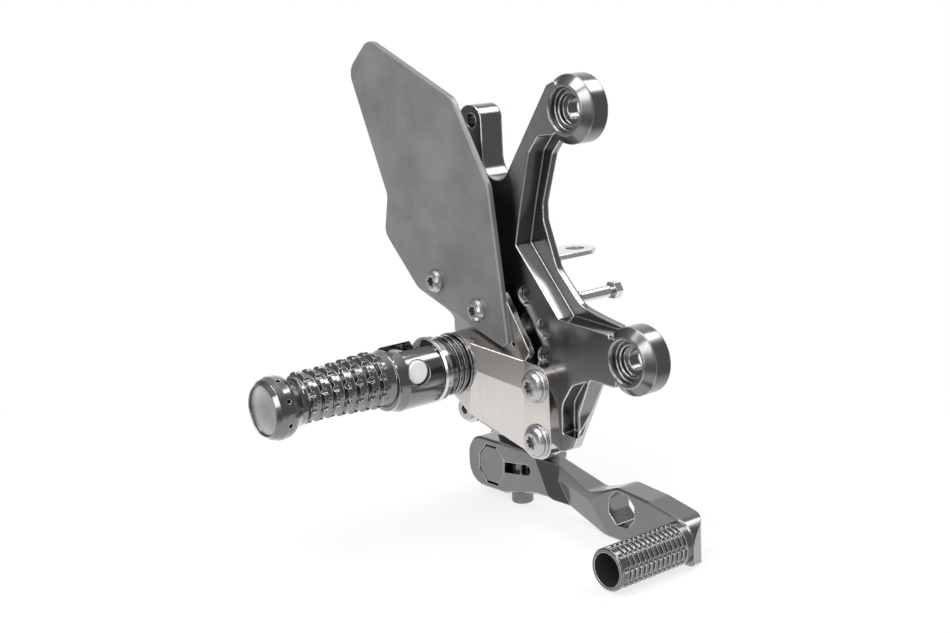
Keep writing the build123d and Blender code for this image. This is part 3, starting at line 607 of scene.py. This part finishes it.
def turned_piece(name: str, axis: Vector, profile: Sequence[Pair], steps: int = 96) -> bpy.types.Object:
    """Round piece turned about an axis along Y.

    Args:
        name: Name of the piece.
        axis: A point on its axis; profile distances count from it.
        profile: Radius and distance along Y of each point, from the axis out and back to the axis.
        steps: Faces round the turn.

    Returns:
        The mesh object.
    """
    poly_path([(radius, travel, 0.0) for radius, travel in profile])
    piece = active_mesh(name)
    lathe = piece.modifiers.new("lathe", "SCREW")
    lathe.axis = "Y"
    lathe.steps = lathe.render_steps = steps
    lathe.use_merge_vertices = True
    bpy.ops.object.modifier_apply(modifier=lathe.name)
    bpy.ops.object.mode_set(mode="EDIT")
    bpy.ops.mesh.select_all(action="SELECT")
    bpy.ops.mesh.remove_doubles(threshold=MERGE)
    bpy.ops.mesh.normals_make_consistent(inside=False)
    bpy.ops.object.mode_set(mode="OBJECT")
    piece.data.transform(Matrix.Translation(axis))
    bpy.ops.object.shade_smooth_by_angle(angle=SMOOTH_ANGLE)
    deselect()
    return piece


@dataclass
class SubAssembly:
    """Pieces that come off the bench together, and the finish that each node wears."""

    book: FinishBook
    WEARS: ClassVar[dict[str, Finish]] = {}

    def dress_nodes(self) -> None:
        """Dress this group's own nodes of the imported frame."""
        for name, finish in self.WEARS.items():
            self.book.dress(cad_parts[name], finish)
            LOG.info("dressed %s", name)

    def add_pieces(self) -> None:
        """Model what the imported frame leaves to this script; nothing by default."""

    def own(self, piece: bpy.types.Object, finish: Finish, slot: str, body: str) -> None:
        """Dress a new piece and say what it rides on.

        Args:
            piece: The new piece.
            finish: Its finish.
            slot: Material slot of the record that it belongs to; not used.
            body: Body that carries it.
        """
        self.book.dress(piece, finish)
        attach(piece, body)
        LOG.info("made %s", piece.name)


@dataclass(frozen=True)
class TappedThread:
    """Ridges of a thread inside a hole that lies along Y, swept by the Screw modifier."""

    hole_radius: float
    pitch: float
    length: float
    ridge: float = 0.4 * MM
    sunk: float = 0.05 * MM
    steps: int = 24

    def sweep(self, name: str) -> bpy.types.Object:
        """Sweep the ridge from its three-sided section.

        Args:
            name: Name of the piece.

        Returns:
            The thread, with its axis on Y.
        """
        deselect()
        middle = self.hole_radius + self.sunk - self.ridge / 2
        bpy.ops.mesh.primitive_circle_add(
            vertices=3, radius=self.ridge, location=(middle, 0, 0), rotation=(math.pi / 2, -math.pi / 2, 0))
        piece = bpy.context.object
        piece.name = piece.data.name = name
        bpy.ops.object.transform_apply(location=True, rotation=True)
        sweep = piece.modifiers.new("thread", "SCREW")
        sweep.axis = "Z"
        sweep.screw_offset = self.pitch
        sweep.iterations = int(self.length / self.pitch)
        sweep.steps = sweep.render_steps = self.steps
        bpy.ops.object.modifier_apply(modifier=sweep.name)
        bpy.ops.object.mode_set(mode="EDIT")
        bpy.ops.mesh.select_all(action="SELECT")
        bpy.ops.mesh.remove_doubles(threshold=MERGE)
        bpy.ops.mesh.fill_holes(sides=3)
        bpy.ops.transform.rotate(value=math.pi / 2, orient_axis="X", center_override=(0, 0, 0))
        bpy.ops.mesh.select_all(action="SELECT")
        bpy.ops.mesh.normals_make_consistent(inside=False)
        bpy.ops.object.mode_set(mode="OBJECT")
        return piece


@dataclass
class MainBracket(SubAssembly):
    """Black bracket with its two frame bosses; the open holes of its pattern are tapped."""

    WEARS: ClassVar[dict[str, Finish]] = {"main_bracket": FinishBook.BRACKET}

    plate: float = 12.0 * MM
    front_x: float = -49.5 * MM
    rear_x: float = -60.6 * MM
    first_front_z: float = -4.95 * MM
    first_rear_z: float = -4.2 * MM
    pitch_z: float = 12.25 * MM
    front_holes: int = 2
    rear_holes: int = 3
    mouth: float = 0.9 * MM
    back_gap: float = 0.4 * MM
    hole_radius: float = 3.4 * MM
    thread_pitch: float = 1.25 * MM

    def add_pieces(self) -> None:
        """Put a thread in each open hole."""
        front, rear = self.first_front_z, self.first_rear_z
        places = [(self.front_x, front + self.pitch_z * step) for step in range(self.front_holes)]
        places += [(self.rear_x, rear + self.pitch_z * step) for step in range(self.rear_holes)]
        length = self.plate - self.mouth - 2 * self.back_gap
        thread = TappedThread(self.hole_radius, self.thread_pitch, length)
        pattern = thread.sweep("hole_thread_1")
        inner_y = max(vertex.co.y for vertex in pattern.data.vertices)
        pieces = [pattern]
        for index in range(1, len(places)):
            copy = bpy.data.objects.new(f"hole_thread_{index + 1}", pattern.data.copy())
            bpy.context.collection.objects.link(copy)
            pieces.append(copy)
        for piece, (x, z) in zip(pieces, places):
            piece.data.transform(Matrix.Translation((x, -self.back_gap - inner_y, z)))
            self.own(piece, FinishBook.BRACKET, "black_anodised", "frame_side")


@dataclass
class PegAdapter(SubAssembly):
    """Milled adapter between bracket and footpeg, with its screws."""

    WEARS: ClassVar[dict[str, Finish]] = {
        "peg_adapter": FinishBook.ADAPTER,
        "adapter_screws": FinishBook.ZINC,
        "lug_screw": FinishBook.ZINC,
    }


@dataclass
class HeelGuard(SubAssembly):
    """Blasted plate that keeps the heel off the wheel, and its two screws."""

    WEARS: ClassVar[dict[str, Finish]] = {
        "heel_guard": FinishBook.GUARD,
        "heel_guard_screws": FinishBook.ZINC,
    }


@dataclass
class PegHinge(SubAssembly):
    """Grooved base of the footpeg, with the pin that it folds on and the spring that holds it down."""

    WEARS: ClassVar[dict[str, Finish]] = {
        "peg_mount": FinishBook.PEG_BLACK,
        "peg_mount_screw": FinishBook.ZINC,
        "stop_collar": FinishBook.BRIGHT,
        "hinge_pin": FinishBook.PIN_STEEL,
        "hinge_clip": FinishBook.BRIGHT,
        "fold_spring": FinishBook.WIRE,
    }

    wire: float = 0.65 * MM
    coil_radius: float = 4.65 * MM
    turns: float = 2.25
    turn_steps: int = 24
    down_leg: float = 6.2 * MM
    collar_gap: float = 0.3 * MM

    def spring_path(self) -> list[Vector]:
        """Points of the torsion spring's wire.

        Returns:
            Leg to the collar, coil round the pin, leg down to the fork's floor.
        """
        low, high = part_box("fold_spring")
        pin = centre("hinge_pin")
        start_x, end_x = low[0] + self.wire, high[0] - self.wire
        steps = round(self.turns * self.turn_steps)
        points = [Vector((start_x, high[1] - self.collar_gap, pin.z + self.coil_radius))]
        for step, (c, s) in enumerate(arc_points(steps, 90, 90 + 360 * self.turns)):
            along = start_x + (end_x - start_x) * step / steps
            points.append(Vector((along, pin.y + self.coil_radius * c, pin.z + self.coil_radius * s)))
        points.append(Vector((end_x, pin.y - self.coil_radius, pin.z - self.down_leg)))
        return points

    def add_pieces(self) -> None:
        """Wind the torsion spring in its CAD node's place."""
        piece = wire_piece("peg_torsion_spring", self.spring_path(), self.wire)
        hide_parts("fold_spring")
        self.own(piece, FinishBook.WIRE, "bright_steel", "frame_side")


@dataclass
class FoldingPeg(SubAssembly):
    """Ridged footpeg with the crowned disc in its end; each share is a part of the disc's radius."""

    WEARS: ClassVar[dict[str, Finish]] = {
        "folding_peg": FinishBook.PEG_BLACK,
        "peg_end_disc": FinishBook.DISC,
    }

    crown: float = 0.9 * MM
    chamfer: float = 0.1 * MM
    rim: float = 1.4 * MM
    rim_share: float = 0.97
    plug_share: float = 0.5
    rings: int = 12

    def add_pieces(self) -> None:
        """Turn the disc with its crown, which the CAD node leaves flat."""
        low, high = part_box("peg_end_disc")
        radius = (high[0] - low[0]) / 2
        end = Vector(((low[0] + high[0]) / 2, low[1], (low[2] + high[2]) / 2))
        sphere = (radius ** 2 + self.crown ** 2) / (2 * self.crown)
        profile = []
        for step in range(self.rings + 1):
            out = radius * self.rim_share * step / self.rings
            profile.append((out, sphere - math.sqrt(sphere ** 2 - out ** 2)))
        plug = radius * self.plug_share
        depth = high[1] - low[1]
        profile += [(radius, self.crown + self.chamfer), (radius, self.rim), (plug, self.rim)]
        profile += [(plug, depth), (0.0, depth)]
        piece = turned_piece("peg_crowned_disc", end, profile)
        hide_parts("peg_end_disc")
        self.own(piece, FinishBook.DISC, "blasted_grey", "footpeg")


@dataclass
class BrakePedal(SubAssembly):
    """Brake lever with its toe peg, clamped on the pivot shaft."""

    WEARS: ClassVar[dict[str, Finish]] = {
        "brake_lever": FinishBook.LEVER,
        "pinch_screw": FinishBook.DARK_STEEL,
        "toe_peg": FinishBook.TOE_BLACK,
        "toe_peg_screw": FinishBook.DARK_STEEL,
        "lever_spring_pin": FinishBook.BRIGHT,
    }


@dataclass
class PivotUnit(SubAssembly):
    """Pivot shaft in its two bearings, and the inboard arm that works the master cylinder."""

    WEARS: ClassVar[dict[str, Finish]] = {
        "pivot_shaft": FinishBook.LEVER,
        "outer_bearing": FinishBook.BRIGHT,
        "inner_bearing": FinishBook.BRIGHT,
        "actuating_arm": FinishBook.LEVER,
        "arm_screw": FinishBook.DARK_STEEL,
    }


@dataclass
class PedalReturn(SubAssembly):
    """Post on the bracket and the close-wound spring from it to the pin on the lever.

    turn_pitch and straight count in wire radii, and eye_open is degrees of each eye's ring.
    """

    WEARS: ClassVar[dict[str, Finish]] = {
        "spring_post": FinishBook.BRIGHT,
        "return_spring": FinishBook.WIRE,
    }

    wire: float = 0.6 * MM
    coil_radius: float = 2.8 * MM
    coil_inset_top: float = 15.5 * MM
    coil_inset_low: float = 11.5 * MM
    post_neck: float = 1.9 * MM
    pin_neck: float = 1.5 * MM
    clearance: float = 0.15 * MM
    turn_pitch: float = 2.03
    straight: float = 2.5
    eye_open: float = 335.0
    turn_steps: int = 18

    def ends(self) -> tuple[Vector, Vector]:
        """Centres of the two eyes, on the axes of the post and of the pin."""
        plane = centre("return_spring").y
        post, pin = centre("spring_post"), centre("lever_spring_pin")
        return Vector((post.x, plane, post.z)), Vector((pin.x, plane, pin.z))

    def spring_path(self) -> list[Vector]:
        """Points of the whole wire.

        Returns:
            Eye, coil, eye, in the set's frame.
        """
        top, low = self.ends()
        length = (low - top).length
        upper = self.post_neck + self.clearance + self.wire
        lower = self.pin_neck + self.clearance + self.wire
        coil_from, coil_to = self.coil_inset_top, length - self.coil_inset_low
        turns = round((coil_to - coil_from) / (self.turn_pitch * self.wire))
        local = [Vector((upper * c, upper * s, 0)) for c, s in arc_points(self.turn_steps, self.eye_open, 0)]
        local += [Vector((coil_from - self.straight * self.wire, 0, 0))]
        steps = turns * self.turn_steps
        half = self.turn_steps / 2
        for step, (c, s) in enumerate(arc_points(steps, 0, 360 * turns)):
            ease = min(1.0, step / half, (steps - step) / half)
            along = coil_from + (coil_to - coil_from) * step / steps
            local.append(Vector((along, self.coil_radius * ease * c, self.coil_radius * ease * s)))
        local += [Vector((coil_to + self.straight * self.wire, 0, 0))]
        low_eye = arc_points(self.turn_steps, 180, 180 + self.eye_open)
        local += [Vector((length + lower * c, lower * s, 0)) for c, s in low_eye]
        along = (low - top).normalized()
        across = Vector((0, 1, 0)).cross(along)
        turn = Matrix((along, across, Vector((0, 1, 0)))).transposed().to_4x4()
        place = Matrix.Translation(top) @ turn
        return [place @ point for point in local]

    def add_pieces(self) -> None:
        """Wind the return spring in its CAD node's place; it stretches from the bracket to the pedal."""
        piece = wire_piece("pedal_return_spring", self.spring_path(), self.wire)
        self.book.dress(piece, FinishBook.WIRE)
        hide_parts("return_spring")
        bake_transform(piece)
        LOG.info("made %s", piece.name)


@dataclass
class SwitchMount(SubAssembly):
    """Zinc tab that holds the brake light switch."""

    WEARS: ClassVar[dict[str, Finish]] = {
        "switch_bracket": FinishBook.PLATED,
        "switch_screw": FinishBook.ZINC,
    }


@dataclass(frozen=True)
class SoftBox:
    """One soft box that faces the set."""

    name: str
    direction: Point
    size: Pair
    power: float
    distance: float = 0.9

    def hang(self, middle: Point) -> None:
        """Hang the box.

        Args:
            middle: What it faces.
        """
        data = bpy.data.lights.new(self.name, "AREA")
        data.shape = "RECTANGLE"
        data.size, data.size_y = self.size
        data.energy = self.power
        box = bpy.data.objects.new(self.name, data)
        outward = Vector(self.direction).normalized()
        box.location = Vector(middle) + outward * self.distance
        box.rotation_euler = outward.to_track_quat("Z", "Y").to_euler()
        bpy.context.collection.objects.link(box)


@dataclass
class Studio:
    """White paper sweep, soft boxes, dark room and the camera.

    Each range is where a fade starts and ends: metres over the paper, and over the backdrop the cosine of
    the angle from its axis.
    """

    BOXES: ClassVar[tuple[SoftBox, ...]] = (
        SoftBox("front_box", (0.40, -0.80, 0.36), (0.24, 0.95), 3.2),
        SoftBox("top_box", (-0.05, -0.45, 0.89), (0.5, 0.22), 2.0),
        SoftBox("back_box", (0.2, 0.6, 0.78), (0.5, 0.30), 2.6),
    )

    paper_z: float = -0.0803
    middle: Point = (-0.066, -0.045, 0.0)
    toward_camera: Point = (0.788, -0.616, 0.0)
    aside: Point = (0.616, 0.788, 0.0)
    aim: Point = (-0.0603, -0.0405, 0.0162)
    stand: Point = (0.4332, -0.4331, 0.1572)
    roll: float = math.radians(-3.0)
    lens: float = 58.0
    sensor: float = 36.0
    paper_size: float = 6.0
    shadow_share: float = 0.24
    shadow_fade: Pair = (0.16, 0.36)
    room: float = 0.28
    paper_reach: float = 0.13
    paper_fade: float = 0.08
    paper_behind: Pair = (-0.3, 0.0)
    side_fade: Pair = (0.15, 0.5)
    front_fade: Pair = (0.1, 0.7)
    ceiling_fade: Pair = (0.45, 0.9)
    ceiling: float = 0.7
    plain_sky: float = 0.75

    def floor(self) -> None:
        """Lay the paper: white to the eye but for a faint shadow, and near the set white in the metal too."""
        deselect()
        bpy.ops.mesh.primitive_plane_add(size=self.paper_size, location=(0, 0, self.paper_z))
        ground = bpy.context.object
        ground.name = "studio_floor"
        made = bpy.data.materials.new("studio_floor")
        made.use_nodes = True
        tree = Tree(made.node_tree)
        lit = tree.add("BsdfDiffuse")
        lit.inputs["Color"].default_value = WHITE
        light = tree.add("LightPath")
        centred = tree.add("VectorMath", operation="SUBTRACT")
        tree.feed(centred, 0, tree.place())
        tree.feed(centred, 1, self.middle)
        reach = tree.add("VectorMath", operation="LENGTH")
        tree.feed(reach, 0, centred.outputs[0])
        forward = tree.along(centred.outputs[0], self.toward_camera)
        behind = tree.remap(forward, *self.paper_behind, 0.0, 1.0)
        distance = tree.sums("MULTIPLY", reach.outputs["Value"], behind)
        paper = tree.remap(distance, self.paper_reach, self.paper_reach + self.paper_fade, 1.0, self.room)
        pale = tree.add("Emission")
        tree.feed(pale, "Strength", tree.sums("MAXIMUM", paper, light.outputs["Is Camera Ray"]))
        clear = tree.remap(reach.outputs["Value"], *self.shadow_fade, 1.0 - self.shadow_share, 1.0)
        seen = tree.sums("MULTIPLY", light.outputs["Is Camera Ray"], clear)
        seen = tree.sums("MAXIMUM", seen, light.outputs["Is Glossy Ray"])
        seen = tree.sums("MAXIMUM", seen, light.outputs["Is Transmission Ray"])
        mix = tree.add("MixShader")
        tree.feed(mix, 0, seen)
        tree.feed(mix, 1, lit.outputs[0])
        tree.feed(mix, 2, pale.outputs[0])
        tree.feed(tree.add("OutputMaterial"), "Surface", mix.outputs[0])
        ground.data.materials.append(made)

    def world(self) -> None:
        """White backdrop that the eye and the metal see, with the darker room at its sides."""
        world = bpy.data.worlds.new("studio")
        bpy.context.scene.world = world
        world.use_nodes = True
        tree = Tree(world.node_tree)
        light = tree.add("LightPath")
        toward = tree.add("TexCoord").outputs["Generated"]
        aside = tree.sums("ABSOLUTE", tree.along(toward, self.aside))
        sides = tree.remap(aside, *self.side_fade, 1.0, self.room)
        front = tree.remap(tree.along(toward, self.toward_camera), *self.front_fade, 1.0, self.room)
        ceiling = tree.remap(tree.along(toward, (0.0, 0.0, 1.0)), *self.ceiling_fade, 0.0, self.ceiling)
        studio = tree.sums("MAXIMUM", tree.sums("MINIMUM", sides, front), ceiling)
        clear = tree.sums("MAXIMUM", light.outputs["Is Camera Ray"], light.outputs["Is Transmission Ray"])
        shown = tree.add("Background")
        tree.feed(shown, "Strength", tree.sums("MAXIMUM", studio, clear))
        plain = tree.add("Background")
        tree.feed(plain, "Strength", self.plain_sky)
        for node in (shown, plain):
            node.inputs["Color"].default_value = WHITE
        mix = tree.add("MixShader")
        tree.feed(mix, 0, tree.sums("MAXIMUM", clear, light.outputs["Is Glossy Ray"]))
        tree.feed(mix, 1, plain.outputs[0])
        tree.feed(mix, 2, shown.outputs[0])
        tree.feed(tree.add("OutputWorld"), "Surface", mix.outputs[0])

    def camera(self) -> None:
        """Stand the camera where the photographer stood, with the same slight roll."""
        data = bpy.data.cameras.new("camera")
        data.lens = self.lens
        data.sensor_width = self.sensor
        camera = bpy.data.objects.new("camera", data)
        camera.location = self.stand
        look = (Vector(self.aim) - Vector(self.stand)).to_track_quat("-Z", "Y").to_matrix()
        camera.rotation_euler = (look @ Matrix.Rotation(self.roll, 3, "Z")).to_euler()
        bpy.context.collection.objects.link(camera)
        bpy.context.scene.camera = camera

    def build(self) -> None:
        """Set up the whole studio."""
        bpy.context.scene.view_settings.view_transform = "Standard"
        self.floor()
        self.world()
        for box in self.BOXES:
            box.hang(self.middle)
        self.camera()
        LOG.info("studio ready")


def main() -> None:
    """Build the scene in order."""
    logging.basicConfig(level=logging.INFO, format="%(name)s %(message)s")
    book = FinishBook()
    bench = [
        MainBracket(book), PegAdapter(book), HeelGuard(book), PegHinge(book), FoldingPeg(book),
        BrakePedal(book), PivotUnit(book), PedalReturn(book), SwitchMount(book),
    ]
    for group in bench:
        group.dress_nodes()
        group.add_pieces()
    bare = set(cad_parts) - {name for group in bench for name in group.WEARS}
    if bare:
        raise ValueError(f"nodes without a finish: {sorted(bare)}")
    Studio().build()


if __name__ == "__main__":
    main()
